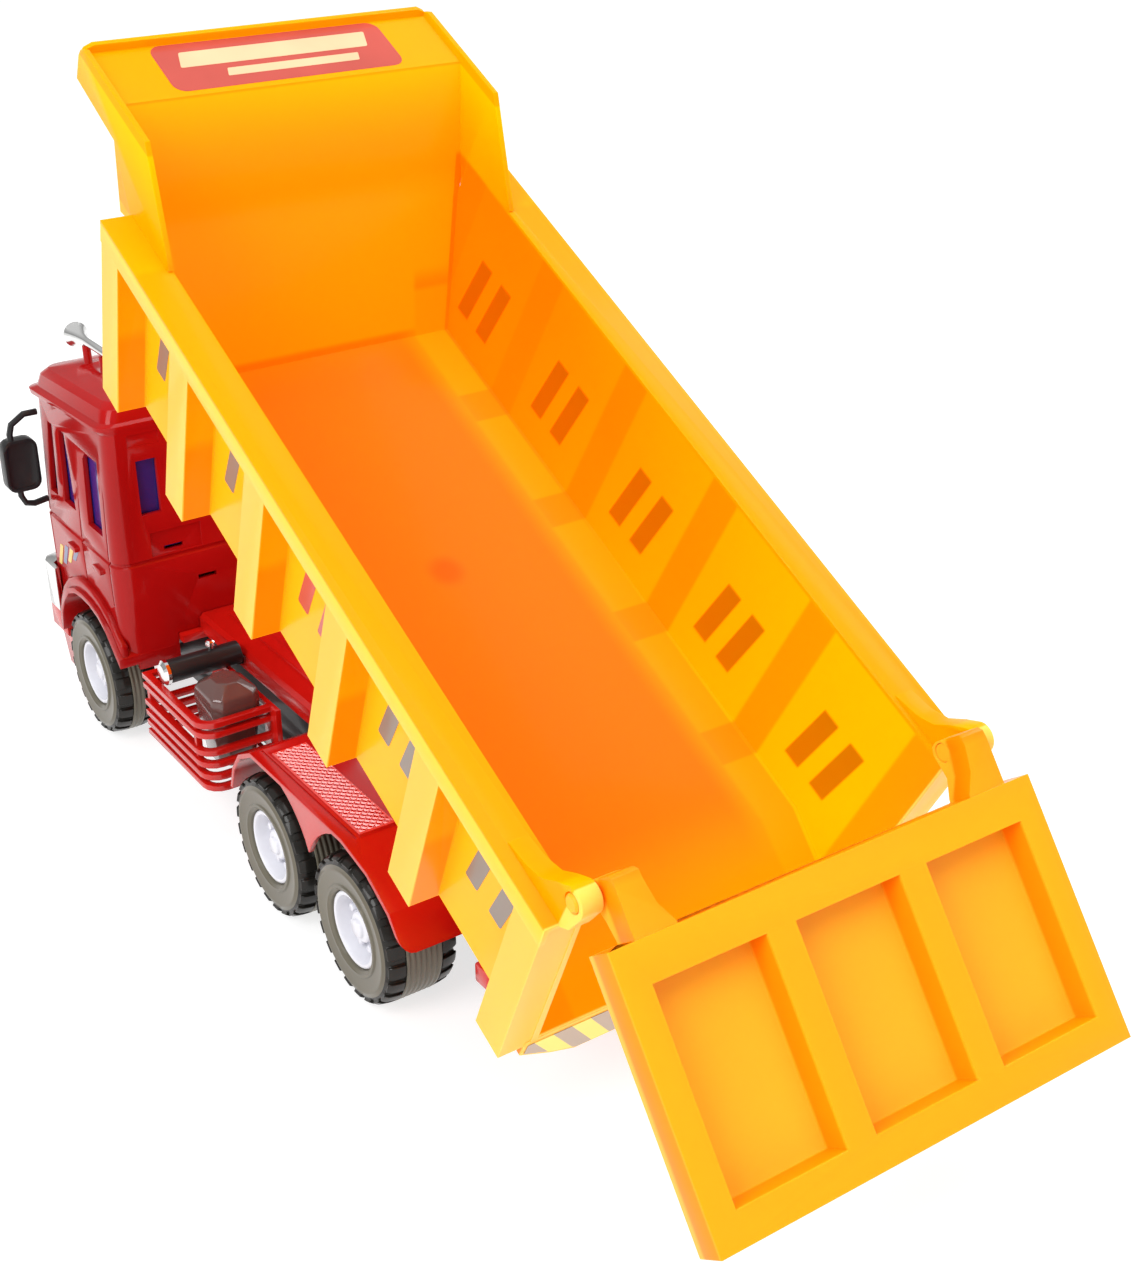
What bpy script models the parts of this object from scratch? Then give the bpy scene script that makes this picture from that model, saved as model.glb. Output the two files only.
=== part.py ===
"""Push-along tipper truck, shown with its bed tipped and the tailgate swung out.

Lengths below are millimetres. X runs forward from the rearmost axle, Y to the truck's left, Z up.
"""

import math

import bmesh
import bpy
from mathutils import Matrix, Vector

MM = 0.001
MIDDLE_X = 44.2  # from the rearmost axle to the middle of the whole toy at rest

# Wheels
TYRE_R = 33.5
SEAT_R = 17.6
AXLE_R = 2.2
AXLES = {"front": 278.9, "rear_1": 76.1, "rear_2": 0.0}
WHEEL_OUT = 81.2
WIDTH = {"front": 24.0, "rear_1": 34.0, "rear_2": 34.0}
LUGS = 21

# Bed, in its own axes: u forward, v left, w up from the bottom of the side skirts
TILT = math.radians(27.04)
PIVOT = (-76.0, 90.0)
PIVOT_UW = (-0.5, 9.0)
POST_FRONT = 296.4
POST_PITCH = 68.0
POST_WIDTH = 16.6
POSTS = 6
BED_REAR = POST_FRONT - POST_PITCH * (POSTS - 1) - POST_WIDTH
RAIL_TOP = 95.7
RAIL_HIGH = 11.0
FLOOR_TOP = 19.0
FLOOR_THICK = 2.4
FOLD = (320.0, 132.0)
CANOPY_FRONT = 357.0
EAR = (-60.9, 109.9)

# Tailgate, in its own axes: origin on the hinge, x towards the cab, z up
GATE_OPEN = math.radians(37.04)
GATE_HALF = 91.7
GATE_TOP = -17.2
GATE_HIGH = 97.9
GATE_OUT = -14.0
GATE_THICK = 12.9

# Cab
CAB_REAR = 236.5
CAB_FRONT = 335.0
CAB_WALL = 2.4

# Chassis
SPINE_HALF = 36.0
SPINE_TOP = 73.0
BASE_HALF = 33.0
BASE_BOTTOM = 24.0
GUARD_X = (138.0, 205.0)

CROWDED = ("cab_shell",)  # pieces whose many meeting cuts the exact Boolean can't resolve


def keep(name, bm):
    """Makes the bmesh into an object, with its faces cut to triangles and turned outwards."""
    bm.normal_update()
    bmesh.ops.triangulate(bm, faces=bm.faces)
    bmesh.ops.recalc_face_normals(bm, faces=bm.faces)
    mesh = bpy.data.meshes.new(name)
    bm.to_mesh(mesh)
    bm.free()
    obj = bpy.data.objects.new(name, mesh)
    TRUCK.objects.link(obj)
    return obj


def loft(name, loops, ring=False):
    """Joins loops of equal length with faces, and closes both ends unless it is a ring."""
    bm = bmesh.new()
    rows = [[bm.verts.new(Vector(p) * MM) for p in loop] for loop in loops]
    pairs = list(zip(rows, rows[1:]))
    if ring:
        pairs.append((rows[-1], rows[0]))
    for here, there in pairs:
        for j in range(len(here)):
            k = (j + 1) % len(here)
            bm.faces.new((here[j], here[k], there[k], there[j]))
    if not ring:
        bm.faces.new(tuple(reversed(rows[0])))
        bm.faces.new(tuple(rows[-1]))
    return keep(name, bm)


def along(axis, p, q, t):
    return {"x": (t, p, q), "y": (p, t, q), "z": (p, q, t)}[axis]


def prism(name, outline, axis, a, b):
    """A flat outline across the axis, extruded from a to b."""
    bm = bmesh.new()
    face = bm.faces.new([bm.verts.new(Vector(along(axis, p, q, a)) * MM) for p, q in outline])
    grown = bmesh.ops.extrude_face_region(bm, geom=[face])["geom"]
    moved = [v for v in grown if isinstance(v, bmesh.types.BMVert)]
    bmesh.ops.translate(bm, verts=moved, vec=Vector(along(axis, 0, 0, b - a)) * MM)
    return keep(name, bm)


def box(name, x, y, z):
    bm = bmesh.new()
    bmesh.ops.create_cube(bm, size=1.0)
    size = Vector((x[1] - x[0], y[1] - y[0], z[1] - z[0])) * MM
    middle = Vector((x[0] + x[1], y[0] + y[1], z[0] + z[1])) * MM / 2
    bmesh.ops.scale(bm, verts=bm.verts, vec=size)
    bmesh.ops.translate(bm, verts=bm.verts, vec=middle)
    return keep(name, bm)


def upright(axis, centre):
    """Turns a shape made about the Z axis to lie along another axis through the centre."""
    turn = {
        "x": Matrix.Rotation(math.pi / 2, 4, "Y"),
        "y": Matrix.Rotation(-math.pi / 2, 4, "X"),
        "z": Matrix.Identity(4),
    }[axis]
    return Matrix.Translation(Vector(along(axis, centre[0], centre[1], 0)) * MM) @ turn


def rod(name, axis, centre, radius, a, b, segments=24):
    bm = bmesh.new()
    size = {"radius1": radius * MM, "radius2": radius * MM, "depth": abs(b - a) * MM}
    bmesh.ops.create_cone(bm, cap_ends=True, segments=segments, **size)
    bmesh.ops.translate(bm, verts=bm.verts, vec=Vector((0, 0, (a + b) / 2)) * MM)
    bmesh.ops.transform(bm, verts=bm.verts, matrix=upright(axis, centre))
    return keep(name, bm)


def applied(obj):
    """The object's mesh with its modifiers applied, as a new bmesh, and the object removed."""
    graph = bpy.context.evaluated_depsgraph_get()
    bm = bmesh.new()
    mesh = bpy.data.meshes.new_from_object(obj.evaluated_get(graph))
    bm.from_mesh(mesh)
    bpy.data.objects.remove(obj)
    bpy.data.meshes.remove(mesh)
    return bm


def revolve(name, profile, axis, centre, segments):
    """Turns a (radius, position) profile about a line parallel to the axis."""
    mesh = bpy.data.meshes.new(name)
    points = [(r * MM, 0, t * MM) for r, t in profile]
    edges = [(i, (i + 1) % len(points)) for i in range(len(points))]
    if profile[0][0] == 0 and profile[-1][0] == 0:
        edges.pop()
    mesh.from_pydata(points, edges, [])
    obj = bpy.data.objects.new(name + "_profile", mesh)
    TRUCK.objects.link(obj)
    screw = obj.modifiers.new("Turn", "SCREW")
    screw.axis = "Z"
    screw.steps = segments
    screw.render_steps = segments
    screw.use_merge_vertices = True
    screw.merge_threshold = 1e-6
    bm = applied(obj)
    bmesh.ops.transform(bm, verts=bm.verts, matrix=upright(axis, centre))
    return keep(name, bm)


def tube(name, path, radius):
    """A round bar through the points of a path."""
    curve = bpy.data.curves.new(name, "CURVE")
    curve.dimensions = "3D"
    curve.bevel_depth = radius * MM
    curve.bevel_resolution = 1
    curve.use_fill_caps = True
    spline = curve.splines.new("POLY")
    spline.points.add(len(path) - 1)
    for point, place in zip(spline.points, path):
        point.co = (*(Vector(place) * MM), 1.0)
    obj = bpy.data.objects.new(name + "_path", curve)
    TRUCK.objects.link(obj)
    bm = applied(obj)
    bmesh.ops.remove_doubles(bm, verts=bm.verts, dist=1e-6)
    return keep(name, bm)


def boolean(obj, other, operation):
    TRUCK.objects.unlink(other)
    CUTTERS.objects.link(other)
    other.hide_render = True
    other.display_type = "WIRE"
    modifier = obj.modifiers.new("Shape", "BOOLEAN")
    modifier.object = other
    modifier.operation = operation
    modifier.solver = "MANIFOLD" if obj.name in CROWDED else "EXACT"
    bpy.context.view_layer.objects.active = obj
    bpy.ops.object.modifier_apply(modifier=modifier.name)
    bpy.data.objects.remove(other)
    return obj


def add(obj, *others):
    for other in others:
        boolean(obj, other, "UNION")
    return obj


def cut(obj, *others):
    for other in others:
        boolean(obj, other, "DIFFERENCE")
    return obj


def arc(centre, radius, start, end, steps):
    points = []
    for i in range(steps + 1):
        angle = math.radians(start + (end - start) * i / steps)
        points.append((centre[0] + radius * math.cos(angle), centre[1] + radius * math.sin(angle)))
    return points


def rounded(x0, x1, half, radius, steps=4):
    """A rectangle in plan with rounded corners, centred on the middle line."""
    points = arc((x1 - radius, half - radius), radius, 0, 90, steps)
    points += arc((x0 + radius, half - radius), radius, 90, 180, steps)
    points += arc((x0 + radius, -half + radius), radius, 180, 270, steps)
    points += arc((x1 - radius, -half + radius), radius, 270, 360, steps)
    return points


def material(name, colour, roughness, metallic=0.0, clear=0.0):
    made = bpy.data.materials.new(name)
    made.use_nodes = True
    shader = made.node_tree.nodes["Principled BSDF"]
    shader.inputs["Base Color"].default_value = (*colour, 1.0)
    shader.inputs["Roughness"].default_value = roughness
    shader.inputs["Metallic"].default_value = metallic
    shader.inputs["Transmission Weight"].default_value = clear
    return made


def settle(obj, look, origin=(0.0, 0.0, 0.0)):
    """Puts the object's origin on the given point, with its material and smooth shading."""
    obj.data.materials.clear()
    obj.data.materials.append(look)
    obj.data.transform(Matrix.Translation(-Vector(origin) * MM))
    obj.location = (Vector(origin) - Vector((MIDDLE_X, 0, 0))) * MM
    obj.data.shade_smooth()
    obj.data.set_sharp_from_angle(angle=math.radians(35))
    return obj


def settle_bed(obj, look):
    settle(obj, look, (PIVOT_UW[0], 0, PIVOT_UW[1]))
    obj.location = Vector((PIVOT[0] - MIDDLE_X, 0, PIVOT[1])) * MM
    obj.rotation_euler = (0, -TILT, 0)
    return obj


def settle_gate(obj, look):
    settle(obj, look)
    du = EAR[0] - PIVOT_UW[0]
    dw = EAR[1] - PIVOT_UW[1]
    x = PIVOT[0] + du * math.cos(TILT) - dw * math.sin(TILT)
    z = PIVOT[1] + du * math.sin(TILT) + dw * math.cos(TILT)
    obj.location = Vector((x - MIDDLE_X, 0, z)) * MM
    obj.rotation_euler = (0, GATE_OPEN, 0)
    return obj


for old in list(bpy.data.objects):
    bpy.data.objects.remove(old)

TRUCK = bpy.data.collections.new("push_along_truck")
CUTTERS = bpy.data.collections.new("cutters")
bpy.context.scene.collection.children.link(TRUCK)
bpy.context.scene.collection.children.link(CUTTERS)

RED = material("red_plastic", (0.62, 0.02, 0.02), 0.3)
BLACK = material("black_plastic", (0.02, 0.02, 0.02), 0.45)
YELLOW = material("bed_plastic", (1.0, 0.42, 0.0), 0.35, clear=0.2)
BLUE = material("blue_glazing", (0.03, 0.03, 0.25), 0.15)
CHROME = material("chrome_plate", (0.8, 0.8, 0.8), 0.1, metallic=1.0)
WHITE = material("white_plastic", (0.85, 0.85, 0.85), 0.35)
TYRE = material("tyre_rubber", (0.02, 0.02, 0.02), 0.7)
STEEL = material("steel", (0.55, 0.55, 0.56), 0.3, metallic=1.0)
SMOKE = material("smoked_plastic", (0.2, 0.1, 0.08), 0.15, clear=0.5)


# Bed: floor and ramp, side walls with a channel rail, posts, headboard, canopy, ears and skirt
def wall_in(w):
    return 71.15 + 0.0925 * w


def panel_out(w):
    return 74.3 + 0.0805 * w


def post_out(w):
    return 88.0 + 0.0805 * w


def side_wall(side):
    low = RAIL_TOP - RAIL_HIGH
    lip = RAIL_TOP - 2.2
    section = [
        (wall_in(0), 0),
        (panel_out(0), 0),
        (panel_out(lip), lip),
        (post_out(lip) - 2.2, lip),
        (post_out(low) - 2.2, low),
        (post_out(low), low),
        (post_out(RAIL_TOP), RAIL_TOP),
        (wall_in(RAIL_TOP), RAIL_TOP),
    ]
    section = [(side * v, w) for v, w in section]
    return prism("wall", section, "x", BED_REAR, POST_FRONT)


def post(index, side):
    front = POST_FRONT - POST_PITCH * index
    back = front - POST_WIDTH
    inset = 0.35 if index in (0, POSTS - 1) else 0.0
    front -= inset if index == 0 else 0.0
    back += inset if index == POSTS - 1 else 0.0
    loops = []
    for w in (0.3, RAIL_TOP - 1.1):
        near = panel_out(w) - 1.2
        far = post_out(w) - 0.3
        plan = [
            (back, near),
            (back, far),
            (front, far),
            (front, near),
            (front - 2.2, near),
            (front - 2.2, far - 2.2),
            (back + 2.2, far - 2.2),
            (back + 2.2, near),
        ]
        loops.append([(u, side * v, w) for u, v in plan])
    return loft("post", loops)


def sheet(stations):
    """A folded sheet: each station gives the inner point, the outer point and the half width."""
    loops = []
    for (u0, w0), (u1, w1), half in stations:
        loops.append([(u0, -half, w0), (u0, half, w0), (u1, half, w1), (u1, -half, w1)])
    return loft("sheet", loops)


def ear(side):
    cu, cw = EAR
    outline = [(-27.0, 94.2), (-27.0, 96.3), (-38.0, 98.5), (-46.0, 102.5), (-52.0, 109.5)]
    outline += arc(EAR, 6.0, 55, 200, 10)
    outline += [(cu - 3.5, 99.0), (cu + 1.2, 94.2)]
    lo, hi = (82.2, 90.2) if side > 0 else (-90.2, -82.2)
    return prism("ear", outline, "y", lo, hi)


floor = sheet([
    ((BED_REAR + 0.2, 4.6), (BED_REAR + 0.2, 4.6 - FLOOR_THICK), 73.2),
    ((-21.0, FLOOR_TOP), (-20.0, FLOOR_TOP - FLOOR_THICK), 73.2),
    ((272.3, FLOOR_TOP), (273.5, FLOOR_TOP - FLOOR_THICK), 73.2),
])
bed = floor
bed.name = "bed_tub"
for side in (1, -1):
    add(bed, side_wall(side))
    for index in range(POSTS):
        add(bed, post(index, side))
slope = (FOLD[0] - 271.0) / (FOLD[1] - 20.0)
add(bed, sheet([
    ((270.0, 17.6), (272.6, 16.9), 73.6),
    ((FOLD[0] - slope * (FOLD[1] - 95.0), 95.0), (FOLD[0] - slope * (FOLD[1] - 95.0) + 2.5, 94.0), 81.1),
    (FOLD, (FOLD[0] + 1.6, FOLD[1] - 2.3), 81.1),
    ((CANOPY_FRONT - 1.0, FOLD[1]), (CANOPY_FRONT - 1.0, FOLD[1] - 2.3), 81.1),
]))
wing = [(261.5, 94.6), (259.5, 96.5), (291.5, 135.5), (352.0, 135.5), (355.3, 133.6), (356.9, 130.0)]
wing += [(356.9, 118.8), (318.0, 116.5), (306.5, 89.5), (300.0, 91.0)]
for side in (1, -1):
    near, far = (79.9, 82.2) if side > 0 else (-82.2, -79.9)
    add(bed, prism("wing", wing, "y", near, far))
lip = [(-82.0, 118.8), (82.0, 118.8), (82.0, 130.0), (80.4, 133.6), (76.8, 135.5)]
lip += [(-76.8, 135.5), (-80.4, 133.6), (-82.0, 130.0)]
add(bed, prism("lip", lip, "x", CANOPY_FRONT - 2.3, CANOPY_FRONT))
skirt = [(-76.8, 3.6), (-76.8, -6.0), (-60.0, -17.0), (-47.0, -23.5)]
skirt += [(-p, q) for p, q in reversed(skirt)]
add(bed, prism("skirt", skirt, "x", BED_REAR + 0.05, BED_REAR + 2.25))
for side in (1, -1):
    add(bed, ear(side))
    cut(bed, rod("hole", "y", EAR, 4.0, side * 80.0, side * 93.0, 20))
    near, far = (26.0, 30.0) if side > 0 else (-30.0, -26.0)
    lug = [(-11.0, 17.8)] + arc(PIVOT_UW, 6.0, 180, 360, 12) + [(10.0, 17.8)]
    add(bed, prism("lug", lug, "y", near, far))
for v in (-52.0, 52.0):
    add(bed, box("runner", (-8.0, 268.0), (v - 1.1, v + 1.1), (9.5, 17.8)))
for u in (30.0, 98.0, 166.0, 234.0):
    add(bed, box("rib", (u - 1.1, u + 1.1), (-73.0, 73.0), (11.0, 17.8)))
cut(bed, rod("hole", "y", PIVOT_UW, 2.8, -35.0, 35.0, 20))
settle_bed(bed, YELLOW)

# Tailgate: a deep frame round three panels, hollow behind, with two arms up to the hinge
gate_bottom = GATE_TOP - GATE_HIGH
gate_in = GATE_OUT + GATE_THICK
gate = box("tailgate", (GATE_OUT, gate_in), (-GATE_HALF, GATE_HALF), (gate_bottom, GATE_TOP))
panel_width = (2 * GATE_HALF - 2 * 10.9 - 2 * 12.1) / 3
for i in range(3):
    left = -GATE_HALF + 10.9 + i * (panel_width + 12.1)
    right = left + panel_width
    top = GATE_TOP - 14.1
    bottom = gate_bottom + 11.4
    outer = [(left, bottom), (right, bottom), (right, top), (left, top)]
    inner = [(left + 1.2, bottom + 1.2), (right - 1.2, bottom + 1.2), (right - 1.2, top - 1.2), (left + 1.2, top - 1.2)]
    loops = [[(GATE_OUT - 2, y, z) for y, z in outer], [(GATE_OUT, y, z) for y, z in outer]]
    loops.append([(gate_in - 2.3, y, z) for y, z in inner])
    cut(gate, loft("panel", loops))
pockets = [((-GATE_HALF + 2.2, GATE_HALF - 2.2), (GATE_TOP - 11.9, GATE_TOP - 2.2))]
pockets.append(((-GATE_HALF + 2.2, GATE_HALF - 2.2), (gate_bottom + 2.2, gate_bottom + 9.2)))
for centre in (-GATE_HALF + 5.45, -panel_width / 2 - 6.05, panel_width / 2 + 6.05, GATE_HALF - 5.45):
    wide = 3.25 if abs(centre) > 60 else 3.85
    pockets.append(((centre - wide, centre + wide), (gate_bottom + 5.0, GATE_TOP - 5.0)))
for y, z in pockets:
    cut(gate, box("pocket", (GATE_OUT + 2.3, gate_in + 3.0), y, z))
for side in (1, -1):
    loops = []
    for z, y0, y1, x0, x1 in (
        (-20.0, 63.7, 80.9, -13.0, -1.6),
        (-16.0, 64.2, 80.9, -13.0, -1.6),
        (-9.0, 68.5, 80.9, -13.0, 0.5),
        (0.0, 70.3, 80.9, -13.0, 5.0),
        (3.0, 70.3, 80.9, -12.6, 4.2),
        (4.4, 70.8, 80.5, -11.0, 2.0),
    ):
        loops.append([(x0, side * y0, z), (x1, side * y0, z), (x1, side * y1, z), (x0, side * y1, z)])
    add(gate, loft("arm", loops))
    cut(gate, rod("hole", "y", (0, 0), 3.7, side * 66.0, side * 84.0, 20))
settle_gate(gate, YELLOW)
for side, word in ((1, "left"), (-1, "right")):
    profile = [(0, 70.8), (3.4, 70.8), (3.4, 90.0), (2.6, 90.8), (0, 90.8)]
    pin = revolve("tailgate_pin_" + word, [(r, side * y) for r, y in profile], "y", (0, 0), 20)
    settle_gate(pin, STEEL)


# Cab: a hollow moulding open below, with window openings, panel lines and wheel arches
def cab_loop(z_rear, z_front, x0, x1, half, radius):
    loop = []
    for x, y in rounded(x0, x1, half, radius):
        share = (x - CAB_REAR) / (CAB_FRONT - CAB_REAR)
        loop.append((x, y, z_rear + (z_front - z_rear) * share))
    return loop


cab = loft("cab_shell", [
    cab_loop(50.5, 50.5, 236.5, 335.0, 75.6, 8),
    cab_loop(106.4, 106.4, 236.5, 335.0, 76.2, 8),
    cab_loop(107.2, 107.2, 237.4, 334.2, 75.3, 8),
    cab_loop(108.4, 108.4, 237.4, 334.2, 75.3, 8),
    cab_loop(109.2, 109.2, 236.5, 335.0, 76.0, 8),
    cab_loop(176.0, 170.5, 237.2, 334.0, 73.6, 8),
    cab_loop(178.2, 172.4, 236.5, 338.5, 76.2, 9),
    cab_loop(180.4, 175.0, 236.5, 339.0, 76.6, 9),
    cab_loop(181.6, 176.4, 238.2, 335.0, 73.0, 8),
    cab_loop(188.0, 182.6, 238.8, 333.6, 71.4, 9),
    cab_loop(191.0, 185.6, 241.4, 330.6, 68.0, 9),
    cab_loop(192.0, 187.2, 250.0, 322.0, 52.0, 9),
])
cut(cab, loft("hollow", [
    cab_loop(44.0, 44.0, 238.9, 332.6, 73.2, 6),
    cab_loop(109.0, 109.0, 239.8, 331.8, 72.9, 6),
    cab_loop(176.0, 170.5, 239.6, 331.6, 71.2, 6),
    cab_loop(186.5, 181.2, 241.4, 331.0, 68.6, 6),
    cab_loop(189.2, 184.2, 250.0, 322.0, 54.0, 6),
]))
ARCH = [(228.0, 52.0), (241.0, 63.0), (250.0, 71.0), (260.0, 76.0), (271.0, 78.6), (281.0, 79.0)]
ARCH += [(292.0, 78.0), (303.0, 73.6), (311.0, 66.5), (317.0, 57.0), (320.0, 46.0)]
arch_low = [(x + (281 - x) * 0.06, z - 2.6) for x, z in ARCH]
liner = ARCH + list(reversed(arch_low))
for side in (1, -1):
    opening = arch_low + [(322.0, 20.0), (222.0, 20.0)]
    near, far = (70.0, 90.0) if side > 0 else (-90.0, -70.0)
    cut(cab, prism("opening", opening, "y", near, far))
    near, far = (50.5, 80.8) if side > 0 else (-80.8, -50.5)
    add(cab, prism("liner", liner, "y", near, far))
    near, far = (48.5, 50.9) if side > 0 else (-50.9, -48.5)
    inner_wall = ARCH[1:] + [(320.0, 44.0), (241.0, 44.0)]
    add(cab, prism("well", inner_wall, "y", near, far))
for side in (1, -1):
    cut(cab, rod("axle_way", "y", (AXLES["front"], TYRE_R), 12.0, side * 44.0, side * 56.0, 20))
cut(cab, box("trim", (215.0, 236.4), (-85.0, 85.0), (40.0, 90.0)))
cut(cab, box("notch", (230.0, 243.0), (-48.0, 48.0), (40.0, 65.4)))

GLASS = (
    [(287.0, 122.0), (303.0, 122.0), (303.0, 161.0), (295.0, 161.0)],
    [(311.5, 122.0), (322.0, 122.0), (317.5, 161.0), (311.5, 161.0)],
    [(252.0, 120.0), (271.0, 120.0), (271.0, 155.0), (267.5, 159.0), (252.0, 159.0)],
)
SEAM = [(281.6, 82.0), (283.0, 82.0), (283.0, 163.0), (281.6, 163.0)]
for side in (1, -1):
    for window in GLASS:
        cut(cab, prism("window", window, "y", side * 60.0, side * 85.0))
    cut(cab, prism("seam", SEAM, "y", side * 75.0, side * 85.0))
    for x0, x1 in ((246.5, 247.6), (326.0, 327.1)):
        line = [(x0, 84.0), (x1, 84.0), (x1, 163.0), (x0, 163.0)]
        cut(cab, prism("seam", line, "y", side * 74.6, side * 85.0))
    near, far = (74.0, 78.0) if side > 0 else (-78.0, -74.0)
    for x0 in (256.0, 290.0):
        add(cab, box("handle", (x0, x0 + 10.0), (near, far), (98.0, 100.6)))
    cut(cab, box("pane", (230.0, 244.0), sorted((side * 49.5, side * 60.0)), (132.5, 161.0)))
    cut(cab, box("recess", (230.0, 237.6), sorted((side * 47.0, side * 63.0)), (168.5, 174.6)))
    cut(cab, box("recess", (230.0, 237.6), sorted((side * 30.0, side * 57.0)), (109.8, 122.5)))
    cut(cab, box("slot", (230.0, 244.0), sorted((side * 40.0, side * 50.0)), (111.6, 113.8)))
    cut(cab, box("slot", (230.0, 244.0), sorted((side * 24.0, side * 34.0)), (91.5, 94.0)))
    for x in (291.0, 313.0):
        roof = 191.5 - (x - CAB_REAR) * 0.05
        add(cab, rod("stand", "z", (x, side * 50.0), 2.2, roof - 3.0, 197.6, 12))
cut(cab, prism("windscreen", [(-64.0, 118.0), (64.0, 118.0), (61.0, 163.0), (-61.0, 163.0)], "x", 326.0, 340.0))
settle(cab, RED)

glazing = loft("cab_glazing", [
    cab_loop(112.0, 112.0, 240.4, 331.2, 72.3, 6),
    cab_loop(165.0, 165.0, 240.2, 331.0, 70.9, 6),
])
cut(glazing, loft("inside", [
    cab_loop(105.0, 105.0, 241.9, 329.7, 70.9, 5),
    cab_loop(163.4, 163.4, 241.9, 329.5, 69.4, 5),
]))
settle(glazing, BLUE)

# Chrome front: a band with lamps that wraps the corners, and a slatted grille over it
grille = prism("front_grille", [
    (323.0, 79.4), (337.0, 79.4), (342.5, 76.5), (344.6, 70.0), (344.6, -70.0), (342.5, -76.5),
    (337.0, -79.4), (323.0, -79.4), (323.0, -76.8), (331.0, -76.8), (335.6, -72.0), (335.6, 72.0),
    (331.0, 76.8), (323.0, 76.8),
], "z", 52.0, 77.0)
add(grille, box("grille", (335.6, 342.0), (-44.0, 44.0), (70.0, 100.0)))
for i in range(4):
    cut(grille, box("slat", (339.0, 350.0), (-40.0, 40.0), (79.6 + 5.0 * i, 82.2 + 5.0 * i)))
for y in (-66.0, -50.0, 50.0, 66.0):
    cut(grille, rod("lamp", "x", (y, 64.5), 6.6, 341.0, 350.0, 18))
    add(grille, revolve("lens", [(0, 338.0), (5.4, 338.0), (5.4, 342.4), (3.6, 343.8), (0, 344.4)], "x", (y, 64.5), 16))
settle(grille, CHROME)

# Front bumper: a hollow moulding with a step, open at the back
bumper = loft("front_bumper", [
    [(323.0, -72.0, 12.0), (340.0, -72.0, 12.0), (340.0, 72.0, 12.0), (323.0, 72.0, 12.0)],
    [(321.5, -74.0, 35.0), (341.0, -74.0, 35.0), (341.0, 74.0, 35.0), (321.5, 74.0, 35.0)],
    [(321.5, -77.5, 37.0), (343.0, -77.5, 37.0), (343.0, 77.5, 37.0), (321.5, 77.5, 37.0)],
    [(321.5, -77.5, 49.6), (343.0, -77.5, 49.6), (343.0, 77.5, 49.6), (321.5, 77.5, 49.6)],
])
cut(bumper, box("hollow", (310.0, 337.6), (-69.6, 69.6), (14.4, 47.2)))
for y in (-48.0, 48.0):
    cut(bumper, rod("fog", "x", (y, 27.0), 5.0, 339.0, 350.0, 20))
cut(bumper, box("intake", (339.4, 350.0), (-30.0, 30.0), (20.0, 31.0)))
settle(bumper, RED)

# Mirrors on their two-legged brackets, and the roof horns
for side, word in ((1, "left"), (-1, "right")):
    path = [(325, 76.4, 164.4), (325, 83.5, 164.4), (325, 90.5, 160.0), (325, 92.0, 155.0)]
    path += [(325, 90.6, 121.0), (325, 88.6, 116.6), (325, 84.0, 115.4), (325, 76.6, 116.6)]
    mirror = tube("mirror_" + word, [(x, side * y, z) for x, y, z in path], 1.7)
    head = []
    for y, z in rounded(-14.0, 14.0, 9.0, 5.0):
        head.append((side * (88.4 + z), 138.0 + y))
    add(mirror, prism("head", head, "x", 322.2, 329.4))
    glass = []
    for y, z in rounded(-12.4, 12.4, 7.4, 4.0):
        glass.append((side * (88.4 + z), 138.0 + y))
    cut(mirror, prism("glass", glass, "x", 318.0, 323.2))
    settle(mirror, BLACK)
    horn = revolve("horn_" + word, [
        (0, 284.5), (1.6, 284.5), (2.1, 286.0), (2.1, 312.0), (2.8, 318.0), (4.4, 323.0), (6.6, 326.0),
        (6.6, 326.8), (5.4, 326.8), (3.0, 322.0), (1.4, 317.0), (0, 316.0),
    ], "x", (side * 50.0, 200.0), 20)
    settle(horn, CHROME)

# Chassis: the red deck with its spine, hinge lugs and screw posts, over a black pan
deck = prism("chassis_top", [(-SPINE_HALF, 63.0), (SPINE_HALF, 63.0), (SPINE_HALF, 71.0), (34.0, SPINE_TOP), (-34.0, SPINE_TOP), (-SPINE_HALF, 71.0)], "x", -86.0, 235.9)
cut(deck, box("hollow", (-83.6, 233.5), (-33.6, 33.6), (60.0, 70.6)))
add(deck, box("platform", (232.0, 320.0), (-47.6, 47.6), (61.0, 65.0)))
add(deck, box("panel", (112.0, 226.0), (-24.0, 24.0), (72.0, 74.2)))
cut(deck, box("well", (118.0, 220.0), (-18.0, 18.0), (73.2, 78.0)))
SCREWS = [(-48.0, 0.0), (38.0, -22.0), (38.0, 22.0), (150.0, 0.0), (235.0, -22.0), (235.0, 22.0), (308.0, 0.0)]
for x, y in SCREWS:
    top = 71.6 if x < 230 else 64.0
    add(deck, rod("boss", "z", (x, y), 3.8, BASE_BOTTOM + 2.8, top, 10))
    cut(deck, rod("pilot", "z", (x, y), 1.5, BASE_BOTTOM, BASE_BOTTOM + 16.0, 8))
for side in (1, -1):
    near, far = (20.0, 25.4) if side > 0 else (-25.4, -20.0)
    lug = [(-86.0, 72.0)] + arc(PIVOT, 6.0, 180, 0, 12) + [(-62.0, 72.0)]
    add(deck, prism("lug", lug, "y", near, far))
cut(deck, rod("bore", "y", PIVOT, 2.7, -30.0, 30.0, 20))
settle(deck, RED)

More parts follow.
